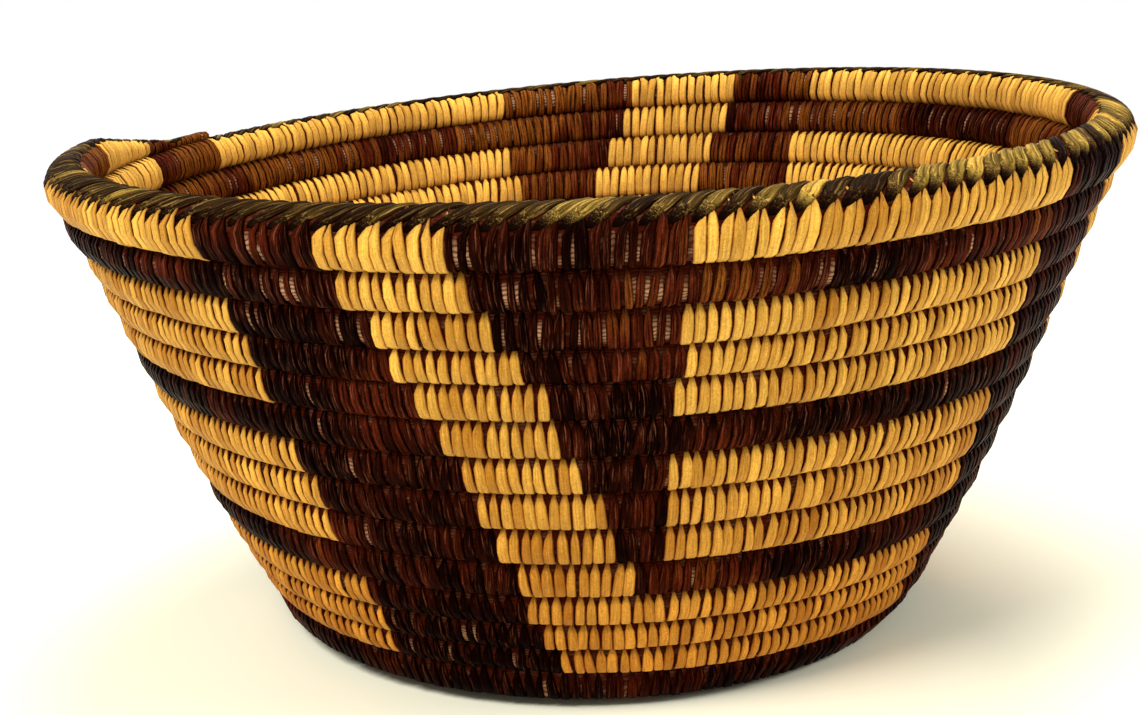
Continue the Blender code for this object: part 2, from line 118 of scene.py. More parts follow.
class BowlSizes(bpy.types.PropertyGroup):
    knot_radius: a_length("Knot radius", 4.4, "Radius of the start knot")
    base_flat: a_length("Flat base", 59.9, "From the knot to the heel")
    heel_radius: a_length("Heel radius", 7.0, "Bend from the base to the wall")
    wall_length: a_length("Wall length", 109.0, "Up the wall to the rim")
    foot_angle: an_angle("Foot angle", 60.6, "The wall's slope over the heel")
    rim_angle: an_angle("Rim angle", 68.2, "The wall's slope at the rim")
    wall_bend: a_number("Wall bend", 3.0, "How soon the wall reaches its slope at the rim")
    rest_depth: a_length("Rest depth", 0.5, "How deep the base is worn flat")
    lean_right: a_length("Lean right", 3.8, "How far the rim rises on the right")
    lean_front: a_length("Lean front", 6.0, "How far the rim rises at the front")
    lean_twist: a_length("Lean twist", 0.45, "How far the rim warps twice in a turn")
    lean_power: a_number("Lean growth", 1.5, "How the lean grows with height")
    rim_aside: a_length("Rim aside", 1.5, "How far right of the base the rim stands")
    seam_angle: an_angle("Seam", -122.0, "Where the coil ends, from the front to the right")


class SplintSizes(bpy.types.PropertyGroup):
    stitch: a_length("Stitch", 2.22, "From one stitch to the next along the coil")
    cover: a_number("Cover", 0.97, "A splint's width as a share of the stitch")
    crown: a_length("Crown", 0.32, "How far a splint rises in its middle")
    depth: a_length("Depth", 0.40, "How far a splint reaches under its edges")
    slots: a_number("Slots", 0.30, "Share of the dark splints that leave a gap beside them")
    seed: IntProperty(name="Seed", description="Changes every splint's small differences",
                      default=7)


class RimSizes(bpy.types.PropertyGroup):
    reach: a_length("Reach", 11.5, "How far a strand runs along the rim")
    bend: a_number("Bend", 1.25, "How steeply a strand starts, and how much it then turns")
    outer_reach: a_length("Outer reach", 3.9, "How far a strand comes down the rim's outer side")
    inner_reach: a_length("Inner reach", 4.6, "How far a strand goes down the rim's inner side")
    width: a_length("Width", 2.75, "Width of an overcast strand")
    rise: a_length("Rise", 0.75, "How far a strand stands above the sewing")
    # Paler strands on the right of the rim are painted sheen
    sheen_share: a_number("Pale share", 0.32, "Share of paler strands on the right of the rim")


class SplintColours(bpy.types.PropertyGroup):
    light_deep: a_colour("Light, deep", (0.36, 0.150, 0.014),
                         "The deeper gold of the light splints")
    light_pale: a_colour("Light, pale", (0.62, 0.330, 0.050),
                         "The paler gold of the light splints")
    dark_deep: a_colour("Dark, deep", (0.0045, 0.0005, 0.0002), "The blackest of the dark splints")
    dark_brown: a_colour("Dark, brown", (0.078, 0.011, 0.003), "The brownest of the dark splints")
    grass: a_colour("Grass", (0.40, 0.215, 0.115), "The foundation's stems")
    # The groove colour is partly stain, partly painted shade deep between the splints
    groove: a_colour("Groove", (0.045, 0.005, 0.001),
                     "The stained foundation deep between the splints")


class StageSizes(bpy.types.PropertyGroup):
    distance: a_length("Distance", 537.7, "From the camera to the basket")
    elevation: an_angle("Elevation", 16.50, "The camera's angle above the table")
    aside: a_length("Aside", -1.5, "How far right of the middle the camera stands")
    aim_height: a_length("Aim height", 50.0, "Height that the camera circles")
    lens: a_number("Lens", 74.5, "Focal length in millimetres on a 36 mm frame")
    yaw: an_angle("Yaw", -0.438, "The camera's turn from the basket's middle")
    tilt: an_angle("Tilt", 0.493, "The camera's tilt from the basket's middle")
    roll: an_angle("Roll", 2.045, "The camera's roll")
    # The table's yellower colour near the basket is painted shade, the warm tint of the basket's
    # shadow
    table: a_colour("Table", (0.95, 0.94, 0.76), "The table's colour near the basket")


class Bowl:
    """The coil's path, worked out from the sizes: every point is so far along the meridian,
    so far out from it, and at an angle that runs from the front to the right."""

    def __init__(self, scene):
        self.coil = coil = scene.basket_coil
        self.size = size = scene.basket_bowl
        heel_length = size.heel_radius * size.foot_angle
        self.rim_length = size.base_flat + heel_length + size.wall_length
        self.lengths = np.linspace(0.0, self.rim_length + 3 * coil.pitch, 2000)
        up_wall = np.clip((self.lengths - size.base_flat - heel_length) / size.wall_length, 0, 1)
        bend = 1.0 - (1.0 - up_wall) ** size.wall_bend
        wall = size.foot_angle + (size.rim_angle - size.foot_angle) * bend
        heel = np.clip((self.lengths - size.base_flat) / size.heel_radius, 0.0, size.foot_angle)
        self.slopes = np.where(self.lengths < size.base_flat + heel_length, heel, wall)
        middle = (self.slopes[1:] + self.slopes[:-1]) / 2
        step = np.diff(self.lengths)
        rise = np.concatenate([[0.0], np.cumsum(np.sin(middle) * step)])
        run = np.concatenate([[0.0], np.cumsum(np.cos(middle) * step)])
        self.radii = size.knot_radius + run
        self.heights = coil.thickness / 2 - size.rest_depth + rise
        self.rim_height = np.interp(self.rim_length, self.lengths, self.heights)
        self.start_turn = (self.rim_length - coil.start_width) / coil.pitch + 0.5
        low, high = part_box("rim_binding")
        self.shift = np.zeros(3)
        turns = np.linspace(0.0, 1.0, 721)
        edge = self.point(self.groove(turns - 1), coil.rim_thickness / 2, self.angle(turns))
        middle_now = (edge[:, :2].min(axis=0) + edge[:, :2].max(axis=0)) / 2
        self.shift[:2] = (np.array(low[:2]) + np.array(high[:2])) / 2 - middle_now
        if np.abs(self.shift).max() > 3 * MM:
            raise RuntimeError("The coil's path departs from the packed rim")

    def angle(self, turn):
        return self.size.seam_angle + 2 * math.pi * turn

    def radius(self, length):
        return np.interp(length, self.lengths, self.radii)

    def point(self, length, offset, angle):
        """A point of the wall. The slope, radius and height come from the meridian; the
        lean lifts it by a share that grows as a power of its height."""
        slope = np.interp(length, self.lengths, self.slopes)
        radius = self.radius(length) + offset * np.sin(slope)
        height = np.interp(length, self.lengths, self.heights) - offset * np.cos(slope)
        risen = np.clip(height / self.rim_height, 0.0, None)
        lift = self.size.lean_right * np.sin(angle) + self.size.lean_front * np.cos(angle)
        lift = risen ** self.size.lean_power * (lift - self.size.lean_twist * np.sin(2 * angle))
        aside = self.size.rim_aside * risen
        parts = (radius * np.sin(angle) + aside, -radius * np.cos(angle), height + lift)
        return np.stack(np.broadcast_arrays(*parts), axis=-1) + self.shift

    def groove(self, turn):
        """Where the groove under the coil lies at a turn; above the first round, the rim."""
        pitch = self.coil.pitch
        taper = np.clip((turn + 1) / self.coil.end_taper, self.coil.end_width / pitch, 1.0)
        rim = self.rim_length - pitch * (turn + 1.5 - taper)
        share = np.interp(turn, SPREAD_TURNS, SPREAD_SHARES)
        spread = self.coil.front_spread * share * np.maximum(np.cos(self.angle(turn)), 0.0)
        moved = np.interp(turn, UNEVEN_TURNS, UNEVEN_RISES) - spread
        under = np.maximum(self.rim_length - pitch * (turn + 0.5) + moved, 0.0)
        return np.where(turn < 0, rim, under)

    def middle(self, turn):
        return (self.groove(turn - 1) + self.groove(turn)) / 2

    def width(self, turn):
        turn = np.clip(turn, 0.0, self.start_turn)
        return self.groove(turn - 1) - self.groove(turn)

    def fullness(self, turn):
        return np.minimum(1.0, self.width(turn) / self.coil.pitch)

    def thickness(self, turn):
        """The coil's thickness at a turn: thicker at the rim and thin at its tapered ends."""
        limits = (self.coil.thinning_start, self.coil.thinning_end)
        share = np.interp(turn, limits, (1.0, 0.0))
        full = self.coil.thickness + (self.coil.rim_thickness - self.coil.thickness) * share
        return full * np.sqrt(self.fullness(turn))

    def stitch_turns(self, spacing):
        """The turns at which stitches stand, evenly spaced along the coil's own length."""
        turns = np.linspace(0.0, self.start_turn, 40000)
        stride = 2 * math.pi * self.radius(self.middle(turns)) * (turns[1] - turns[0])
        along = np.concatenate([[0.0], np.cumsum((stride[1:] + stride[:-1]) / 2)])
        return np.interp(np.arange(spacing / 2, along[-1], spacing), along, turns)


def run_of(round_number, first, last):
    base = STEPS * (round_number - 1)
    return base + first, base + last


def bar_left(repeat, round_number):
    """The left edge of a repeat's bar. The bar after the last repeat is the first one again,
    a whole turn on, so it lies one round lower."""
    if repeat == len(BAR_STARTS):
        return STEPS + bar_left(0, round_number + 1)
    return BAR_STARTS[repeat] + BAR_DRIFT * (round_number - 1)


def slant_left(repeat, round_number):
    start = BAR_STARTS[repeat] + BAR_WIDTHS[repeat]
    return start + SLANT_LEFT_DRIFT * (round_number - 1)


def slant_right(repeat, round_number):
    start = BAR_STARTS[repeat] + BAR_WIDTHS[repeat] + SLANT_WIDTHS[repeat]
    return start + SLANT_RIGHT_DRIFT * (round_number - 1)


def stepped_end(repeat, round_number):
    """The right edge of the stepped triangle, which always reaches over the round under it."""
    start = BAR_STARTS[repeat] + STEPPED_ENDS[repeat]
    end = start + STEPPED_END_DRIFT * (round_number - 1)
    return max(end, slant_right(repeat, round_number + 1) + 1)


def heel_end():
    """The step of the coil where the dark heel round ends, past its own start."""
    return STEPS * (HEEL_ROUND - 1) + bar_left(len(BAR_STARTS), HEEL_ROUND) + HEEL_OVERLAP


def fret_runs(repeat):
    """The coil runs of one dark fret: steps, lines, bar and its part of the heel round."""
    next_bar = (repeat + 1) % len(BAR_STARTS)
    runs = [run_of(number, slant_right(repeat, number), stepped_end(repeat, number))
            for number in range(1, LAST_LINE)]
    runs += [run_of(number, slant_right(repeat, number), bar_left(repeat + 1, number))
             for number in (FIRST_LINE, MIDDLE_LINE, LAST_LINE)]
    runs += [run_of(number, bar_left(next_bar, number), slant_left(next_bar, number))
             for number in range(1, HEEL_ROUND + 1)]
    heel_start = slant_left(repeat, HEEL_ROUND)
    runs.append(run_of(HEEL_ROUND, heel_start, bar_left(repeat + 1, HEEL_ROUND)))
    if next_bar == 0:
        runs.append((heel_end() - HEEL_OVERLAP, heel_end()))
    return runs


def slant_runs(repeat):
    """The coil runs of a slanting light band and the light rounds over the heel."""
    ends = [slant_right(repeat, number) if number <= LAST_LINE else bar_left(repeat + 1, number)
            for number in range(1, FRET_ROUNDS + 1)]
    return [run_of(number, slant_left(repeat, number), end) for number, end in enumerate(ends, 1)]


def panel_runs(repeat, first_round, last_round):
    """The coil runs of a light panel between the stepped triangle and the next bar."""
    return [run_of(number, stepped_end(repeat, number), bar_left(repeat + 1, number))
            for number in range(first_round, last_round + 1)]


def base_dark_run(bowl):
    """The dark rounds of the base, counted from the knot."""
    last = round(bowl.start_turn * STEPS)
    return last - round(bowl.coil.base_dark_turns * STEPS), last + 1


def turns_in(turns, runs):
    steps = turns * STEPS
    inside = np.zeros(len(turns), bool)
    for first, last in runs:
        inside |= (steps >= first) & (steps < last)
    return inside


def smooth(low, high, value):
    """Nothing at low, one at high and past it, and a smooth rise between."""
    share = np.clip((value - low) / (high - low), 0.0, 1.0)
    return share * share * (3 - 2 * share)


def add_piece(name, points, faces, material, nodes, uv=None, attributes=None):
    """One finished mesh at the origin, riding on the basket and standing for CAD nodes."""
    mesh = bpy.data.meshes.new(name)
    mesh.from_pydata(points.reshape(-1, 3), [], faces)
    mesh.polygons.foreach_set("use_smooth", np.ones(len(faces), bool))
    if uv is not None:
        layer = mesh.uv_layers.new(name="UVMap")
        corners = np.empty(len(mesh.loops), np.int32)
        mesh.loops.foreach_get("vertex_index", corners)
        layer.data.foreach_set("uv", uv.reshape(-1, 2)[corners].astype(np.float32).ravel())
    for key, values in (attributes or {}).items():
        layer = mesh.attributes.new(key, "FLOAT", "POINT")
        layer.data.foreach_set("value", values.astype(np.float32).ravel())
    mesh.materials.append(material)
    piece = bpy.data.objects.new(name, mesh)
    bpy.context.scene.collection.objects.link(piece)
    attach(piece, "root")
    if nodes:
        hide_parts(*nodes)
    return piece


def spread(along, across, shape):
    """The uv of points that stand in an array of this shape."""
    return np.stack([np.broadcast_to(along, shape), np.broadcast_to(across, shape)], axis=-1)


def tube_faces(count, rings, around, closed, clockwise=True):
    """The quads of count like tubes, each of so many rings with so many points around.
    A closed tube's last ring joins its first; an open one gets a face at each end. Points
    that run clockwise round the way the rings go get turned faces, so that all point out."""
    ring = np.arange(rings if closed else rings - 1)
    side = np.arange(around)
    r, s = np.meshgrid(ring, side, indexing="ij")
    after_r, after_s = (r + 1) % rings, (s + 1) % around
    quads = np.stack([r * around + s, r * around + after_s, after_r * around + after_s,
                      after_r * around + s], axis=-1).reshape(-1, 4)
    starts = np.arange(count) * rings * around
    faces = (quads[None] + starts[:, None, None]).reshape(-1, 4).tolist()
    if not closed:
        first = (starts[:, None] + side[::-1][None]).tolist()
        last = (starts[:, None] + (rings - 1) * around + side[None]).tolist()
        faces += first + last
    return [face[::-1] for face in faces] if clockwise else faces


SECTION_SQUARENESS = 2.5
PATH_ANGLES = np.radians([76.0, 55.0, 30.0, 0.0, -32.0, -60.0, -80.0])


def squared(values):
    """A sine or cosine along a superellipse."""
    return np.sign(values) * np.abs(values) ** (2 / SECTION_SQUARENESS)


def worn_flat(points):
    """Points under the surface that the bowl stands on come up to it."""
    points[..., 2] = np.maximum(points[..., 2], 0.06 * MM)
    return points


def drifting(rng, count, reach):
    """A value for each stitch that wanders slowly from one to the next."""
    steps = rng.standard_normal(count + reach)
    return np.convolve(steps, np.ones(reach + 1) / math.sqrt(reach + 1), "valid")


def section_path():
    """Once round the coil's section, as shares of its half width and of its half depth."""
    path = np.concatenate([PATH_ANGLES, math.pi - PATH_ANGLES[::-1]])[None, :, None]
    return path, squared(np.sin(path)), squared(np.cos(path))


def round_the_coil(bowl, turns, half_width, half_depth, raised, side):
    """Points of bands closed round the coil, raised from its section and moved along it."""
    up, out = section_path()[1:]
    reach = np.hypot(up, out)
    along = bowl.middle(turns) + up * half_width + raised * up / reach
    offset = out * half_depth + raised * out / reach
    return worn_flat(bowl.point(along, offset, bowl.angle(turns) + side / bowl.radius(along)))


def slotted(turns, share):
    """Which stitches leave a slot beside them: a scattered choice that each turn fixes, with
    most of them in the two rounds at the rim."""
    share = share * np.interp(turns, (2.1, 2.6), (1.0, 0.16))
    return np.abs(np.sin(turns * 7919.0) * 613.0) % 1.0 < share


# A splint's section: five points across it, how far each is raised, and which one is hidden
ACROSS = np.array([-1.0, -0.66, 0.66, 1.0, 0.0])[None, None, :]
LIFT = np.array([0.0, 0.92, 0.92, 0.0, 0.0])[None, None, :]
UNDER = np.array([0.0, 0.0, 0.0, 0.0, 1.0])[None, None, :]

# How far a slot pulls a splint in, as a share of its half width
SLOT_PULL = 0.26

# Where a splint has its full width, as a share of its way down, and its width at the top
FULL_WIDTH_FROM = 0.29
TOP_WIDTH = 0.26
RIM_FULL_WIDTH_FROM = 0.20
RIM_TOP_WIDTH = 0.10

# How the overcast draws the rim's stitches: in pairs by a share of a stitch, and all aside
PAIR_PULL = 0.24
RIM_LEAN = 0.8 * MM

# How single stitches differ: in shares of their sizes, slants in millimetres, and distances
WIDTH_SCATTER = 0.26
DEPTH_SCATTER = 0.04
TAPER_SCATTER = 0.08
SLANT_DRIFT = 0.18
SLANT_SCATTER = 0.13
PLACE_SCATTER = 0.08 * MM
BEND_SCATTER = 0.15 * MM


def sewn_splints(bowl, splints, turns, pairs, rng, slots):
    """The stitches at the given turns of the coil.

    Each stitch is a band closed round the coil. Along it, the path is a superellipse in the
    coil's section: down the outer side and up the inner one. Across it, the band has two
    edges, a crown between them and a hidden underside. It starts narrow in the upper groove,
    has its full width from a third of its way down and ends blunt in the lower groove. A
    share of them, slots, are pulled in on one side, which bares the foundation there. In the
    rim's round the overcast strands draw the tops of two stitches together: pairs is 1 for
    the first of two and -1 for the second. Returns its points, uv and tone.
    """
    each = (len(turns), 1, 1)
    pulled = SLOT_PULL * slotted(turns, slots)[:, None, None]
    slant = SLANT_DRIFT * drifting(rng, len(turns), 8)[:, None, None]
    slant = slant + SLANT_SCATTER * rng.standard_normal(each)
    drawn = np.where(turns < 1.0, PAIR_PULL * pairs * splints.stitch + RIM_LEAN, 0.0)
    drawn, turns = drawn[:, None, None], turns[:, None, None]
    up = section_path()[1]
    down = (1 - up) / 2
    half_width = bowl.width(turns) / 2 * (1.01 + 0.07 * rng.random(each))
    half_depth = bowl.thickness(turns) / 2 - splints.crown
    half_depth = half_depth * (1.0 + DEPTH_SCATTER * (rng.random(each) - 0.5))
    full = np.where(turns < 1.0, RIM_FULL_WIDTH_FROM, FULL_WIDTH_FROM)
    top = np.where(turns < 1.0, RIM_TOP_WIDTH, TOP_WIDTH)
    width = smooth(-0.04, full, down + TAPER_SCATTER * (rng.random(each) - 0.5))
    width = top + (1 - top) * width
    width = width * (1.0 - 0.16 * smooth(0.93, 1.0, down))
    width = width * splints.stitch * splints.cover / 2
    width = width * (1.0 + WIDTH_SCATTER * (rng.random(each) - 0.5))
    crown = splints.crown * (0.7 + 0.6 * rng.random(each))
    raised = crown * LIFT * (0.5 + 0.5 * smooth(0.0, 0.25, down)) - splints.depth * UNDER
    place = PLACE_SCATTER * rng.standard_normal(each)
    bend = BEND_SCATTER * rng.standard_normal(each) * (1 - up * up)
    side = (ACROSS * (1.0 - pulled) - pulled) * width + slant * MM * up + place + bend
    side = side + drawn * smooth(0.30, 0.0, down)
    points = round_the_coil(bowl, turns, half_width, half_depth, raised, side)
    tone = np.broadcast_to(rng.random(each), side.shape)
    far = np.where(np.arange(2 * len(PATH_ANGLES)) < len(PATH_ANGLES), 0.0, 2.0)[None, :, None]
    return points, spread(down + far, (ACROSS + 1) / 2, side.shape), tone


def bared_stems(bowl, splints, turns):
    """The foundation's stems where they show in the slots: narrow bands under the stitches."""
    turns = turns[slotted(turns, splints.slots)][:, None, None]
    path = section_path()[0]
    full = splints.stitch * splints.cover / 2
    side = (1.0 - SLOT_PULL) * full + ACROSS * 0.55 * full
    raised = 0.2 * MM * LIFT - splints.depth * UNDER - 0.28 * MM
    half_depth = bowl.thickness(turns) / 2 - splints.crown
    points = round_the_coil(bowl, turns, bowl.width(turns) / 2 * 0.9, half_depth, raised, side)
    return points, spread(ACROSS, path / (2 * math.pi), points.shape[:3])


def sew_area(scene, name, nodes, runs, material, seed, slots=0.0):
    """All the splints of one sewn area as one mesh."""
    bowl = Bowl(scene)
    splints = scene.basket_splints
    turns = bowl.stitch_turns(splints.stitch)
    kept = np.flatnonzero(turns_in(turns, runs))
    turns = turns[kept]
    rng = np.random.default_rng(splints.seed * 100 + seed)
    points, uv, tone = sewn_splints(bowl, splints, turns, 1 - 2 * (kept % 2), rng, slots)
    rings, around = points.shape[1:3]
    faces = tube_faces(len(turns), rings, around, closed=True)
    return add_piece(name, points, faces, material, nodes, uv, {"tone": tone})


class Nodes:
    """A short way to write a material's nodes."""

    def __init__(self, name):
        self.material = bpy.data.materials.new(name)
        self.material.use_nodes = True
        self.tree = self.material.node_tree
        self.shader = self.tree.nodes["Principled BSDF"]

    def add(self, kind, inputs=None, **values):
        node = self.tree.nodes.new(kind)
        for key, value in values.items():
            setattr(node, key, value)
        for key, value in (inputs or {}).items():
            self.feed(node.inputs[key], value)
        return node

    def feed(self, socket, value):
        if isinstance(value, bpy.types.NodeSocket):
            self.tree.links.new(value, socket)
        else:
            socket.default_value = value

    def math(self, operation, first, second=0.0, clamp=False):
        node = self.add("ShaderNodeMath", {0: first, 1: second}, operation=operation)
        node.use_clamp = clamp
        return node.outputs[0]

    def round_middle(self, value, amount):
        """How far a value between nothing and one is from its middle, times an amount."""
        return self.math("MULTIPLY", self.math("SUBTRACT", value, 0.5), amount)

    def cover(self, colour, share, amount, over):
        """The colour with so much of a share of it covered by another."""
        return self.mix(self.math("MULTIPLY", share, amount), colour, over)

    def vary(self, colour, value, places, amount):
        """The colour made darker or lighter by up to an amount, as a value passes places."""
        shades = zip(places, (1 - amount, 1.0, 1 + amount))
        shades = self.ramp(value, [(place, (shade,) * 3) for place, shade in shades])
        return self.mix(1.0, colour, shades, "MULTIPLY")

    def ramp(self, factor, stops):
        node = self.add("ShaderNodeValToRGB", {"Fac": factor})
        ramp = node.color_ramp
        while len(ramp.elements) < len(stops):
            ramp.elements.new(0.5)
        for element, (place, colour) in zip(ramp.elements, stops):
            element.position = place
            element.color = (*colour, 1.0)
        return node.outputs["Color"]

    def mix(self, factor, first, second, blend="MIX"):
        node = self.add("ShaderNodeMix", data_type="RGBA", blend_type=blend)
        self.feed(node.inputs[0], factor)
        self.feed(node.inputs[6], first if not isinstance(first, tuple) else (*first, 1.0))
        self.feed(node.inputs[7], second if not isinstance(second, tuple) else (*second, 1.0))
        return node.outputs[2]

    def noise(self, vector, scale, detail=2.0, roughness=0.5):
        node = self.add("ShaderNodeTexNoise", {"Vector": vector, "Scale": scale,
                                               "Detail": detail, "Roughness": roughness})
        return node.outputs["Fac"]

    def bump(self, height, strength, distance):
        node = self.add("ShaderNodeBump", {"Height": height, "Strength": strength,
                                           "Distance": distance})
        self.tree.links.new(node.outputs["Normal"], self.shader.inputs["Normal"])


# Below this height the splints' outside gets painted shade, deeper the lower it is, so fast, up to
# this tint
FOOT_SHADE_HEIGHT = 70.0 * MM
FOOT_SHADE_RISE = 18.0
FOOT_SHADE_TINT = (0.85, 0.65, 0.45)


def splint_nodes(name, stops, edge, look):
    """A splint's finish, on its uv: down it in X, with 2 added on the inner side, across in Y.

    The stops are its colours by tone. The tone starts from middle, own is how much the
    splint's own tone counts, patch how much patches over the basket do, at patch_scale, and
    inner is added inside. Lines is how many fibres lie across it, streak and grain how far
    fibres and fine grain shade it. Fibres above highlight_from take highlight_colour by worn, as
    painted highlights, and its lower end does by low, a painted highlight. Split is a dark line
    down its middle, painted shade of a groove. Its edges take the edge colour and its ends
    end_shade_colour, nearer to the tip with a higher end_power: painted shade between the splints
    and where they go into the grooves. The outside of the basket gets painted shade towards
    its foot. Relief is the fibres' height.
    """
    n = Nodes(name)
    tone = n.add("ShaderNodeAttribute", attribute_name="tone").outputs["Fac"]
    place = n.add("ShaderNodeTexCoord").outputs
    parts = n.add("ShaderNodeSeparateXYZ", {"Vector": place["UV"]}).outputs
    down, across = parts["X"], parts["Y"]
    inside = n.math("GREATER_THAN", down, 1.5)
    patch = n.round_middle(n.noise(place["Object"], look["patch_scale"], 2.5), look["patch"])
    shade = n.math("ADD", n.round_middle(tone, look["own"]), patch)
    shade = n.math("ADD", shade, look["middle"])
    shade = n.math("ADD", shade, n.math("MULTIPLY", inside, look["inner"]), clamp=True)
    colour = n.ramp(shade, stops)
    fibre_place = n.add("ShaderNodeCombineXYZ", {
        "X": n.math("MULTIPLY", down, 1.6), "Y": n.math("MULTIPLY", across, look["lines"]),
        "Z": n.math("MULTIPLY", tone, 57.0)}).outputs[0]
    fibre = n.noise(fibre_place, 1.0, 4.0, 0.65)
    colour = n.vary(colour, fibre, (0.32, 0.52, 0.72), look["streak"])
    # Painted highlights: thin pale glints along the fibres, fewer on the darker splints
    worn = n.math("SUBTRACT", fibre, look["highlight_from"])
    worn = n.math("MULTIPLY", worn, 9.0, clamp=True)
    worn = n.math("MULTIPLY", worn, n.math("MULTIPLY", tone, 4.0, clamp=True))
    colour = n.cover(colour, worn, look["worn"], look["highlight_colour"])
    fine = n.noise(place["Object"], 2400.0, 3.0, 0.7)
    colour = n.vary(colour, fine, (0.3, 0.5, 0.7), look["grain"])
    # Random dark flecks, part of the splint's own colour, take the edge colour too
    fleck = n.math("GREATER_THAN", n.noise(place["Object"], 1500.0, 2.0), 0.68)
    colour = n.cover(colour, fleck, 0.3, edge)
    # Painted shade: the sides of a splint darken towards the gaps beside it
    side = n.math("ABSOLUTE", n.math("SUBTRACT", across, 0.5))
    side = n.math("ADD", n.math("MULTIPLY", side, 2.0), n.round_middle(fine, 0.7), clamp=True)
    colour = n.cover(colour, n.math("POWER", side, 6.0), 0.95, edge)
    # Painted shade: a dark line down the middle, the shade of a lengthwise groove
    split_shade = n.math("ADD", n.math("SUBTRACT", across, 0.5), n.round_middle(fibre, 0.5))
    split_shade = n.math("MULTIPLY", n.math("ABSOLUTE", split_shade), 11.0)
    split_shade = n.math("SUBTRACT", 1.0, split_shade, clamp=True)
    colour = n.cover(colour, split_shade, look["split_shade"], edge)
    whole = n.math("FLOORED_MODULO", down, 2.0)
    # Painted highlight: the lower end of a splint is paler, in highlight_colour by low
    low = n.ramp(whole, [(0.45, (0.0,) * 3), (0.85, (1.0,) * 3)])
    colour = n.cover(colour, low, look["low"], look["highlight_colour"])
    # Painted shade: both ends darken where they go into the grooves and the holes under the
    # stitches
    end = n.math("ABSOLUTE", n.math("SUBTRACT", whole, 0.5))
    end = n.math("POWER", n.math("MULTIPLY", end, 2.0), look["end_power"])
    colour = n.cover(colour, end, 0.95, look["end_shade_colour"])
    # Painted shade: the outside darkens towards the foot, down from FOOT_SHADE_HEIGHT to
    # FOOT_SHADE_TINT
    height = n.add("ShaderNodeSeparateXYZ", {"Vector": place["Object"]}).outputs["Z"]
    foot = n.math("SUBTRACT", FOOT_SHADE_HEIGHT, height)
    foot = n.math("MULTIPLY", foot, FOOT_SHADE_RISE, clamp=True)
    foot = n.math("MULTIPLY", foot, n.math("SUBTRACT", 1.0, inside))
    colour = n.mix(foot, colour, FOOT_SHADE_TINT, "MULTIPLY")
    n.feed(n.shader.inputs["Base Color"], colour)
    rough = n.math("ADD", n.math("MULTIPLY", fibre, 0.3), look["roughness"] - 0.15)
    n.feed(n.shader.inputs["Roughness"], rough)
    n.shader.inputs["Specular IOR Level"].default_value = look["shine"]
    n.bump(fibre, look["relief"], 0.2 * MM)
    return n.material


# In these looks worn and low set painted highlights, while split, end_shade_colour and the edge
# colour set painted shade
LIGHT_LOOK = {"own": 0.75, "patch": 1.4, "patch_scale": 30.0, "middle": 0.46, "inner": 0.4,
              "lines": 6.0, "streak": 0.36, "grain": 0.28, "worn": 0.4, "highlight_from": 0.60,
              "highlight_colour": (0.78, 0.46, 0.15), "low": 0.16, "split_shade": 0.0,
              "end_shade_colour": (0.05, 0.010, 0.002), "end_power": 9.0, "roughness": 0.5,
              "shine": 0.04, "relief": 0.8}
DARK_LOOK = {"own": 0.35, "patch": 2.4, "patch_scale": 30.0, "middle": 0.37, "inner": 0.46,
             "lines": 6.0, "streak": 0.9, "grain": 0.45, "worn": 0.8, "highlight_from": 0.56,
             "highlight_colour": (0.15, 0.048, 0.024), "low": 0.0, "split_shade": 0.9,
             "end_shade_colour": (0.003, 0.0008, 0.0005), "end_power": 9.0, "roughness": 0.32,
             "shine": 0.004, "relief": 0.8}
RIM_LOOK = {"own": 1.0, "patch": 0.3, "patch_scale": 60.0, "middle": 0.50, "inner": 0.0,
            "lines": 7.0, "streak": 0.95, "grain": 0.40, "worn": 0.8, "highlight_from": 0.55,
            "highlight_colour": (0.50, 0.31, 0.08), "low": 0.0, "split_shade": 0.6,
            "end_shade_colour": (0.003, 0.001, 0.0006), "end_power": 2.6, "roughness": 0.35,
            "shine": 0.004, "relief": 0.9}


def light_splint(colours):
    deep, pale = tuple(colours.light_deep), tuple(colours.light_pale)
    middle = tuple((a + b) / 2 for a, b in zip(deep, pale))
    stops = [(0.0, deep), (0.4, middle), (0.75, pale), (1.0, tuple(c * 1.3 for c in pale))]
    # The edge colour given here is painted shade at the splints' edges, and the colour of their
    # random flecks
    return splint_nodes("light_sewing", stops, (0.22, 0.034, 0.003), LIGHT_LOOK)


def dark_splint(colours):
    deep, brown = tuple(colours.dark_deep), tuple(colours.dark_brown)
    middle = tuple(a * 0.7 + b * 0.3 for a, b in zip(deep, brown))
    stops = [(0.0, deep), (0.30, deep), (0.50, middle), (0.75, brown), (1.0, (0.19, 0.055, 0.007))]
    # The edge colour given here is painted shade at the splints' edges and middle line, and the
    # colour of their random flecks
    return splint_nodes("dark_sewing", stops, (0.003, 0.0008, 0.0005), DARK_LOOK)


# The rim's tones rise from near black to olive gold and pale, and the paler ones are painted sheen
def rim_splint(colours):
    deep, pale = tuple(colours.dark_deep), tuple(colours.light_pale)
    stops = [(0.0, deep), (0.12, (0.020, 0.008, 0.002)), (0.32, (0.085, 0.046, 0.008)),
             (0.60, (0.25, 0.155, 0.025)), (0.85, (0.42, 0.26, 0.045)), (1.0, pale)]
    # The edge colour given here is painted shade at the strands' edges and middle line, and the
    # colour of their random flecks
    return splint_nodes("rim_overcast", stops, (0.004, 0.0015, 0.001), RIM_LOOK)


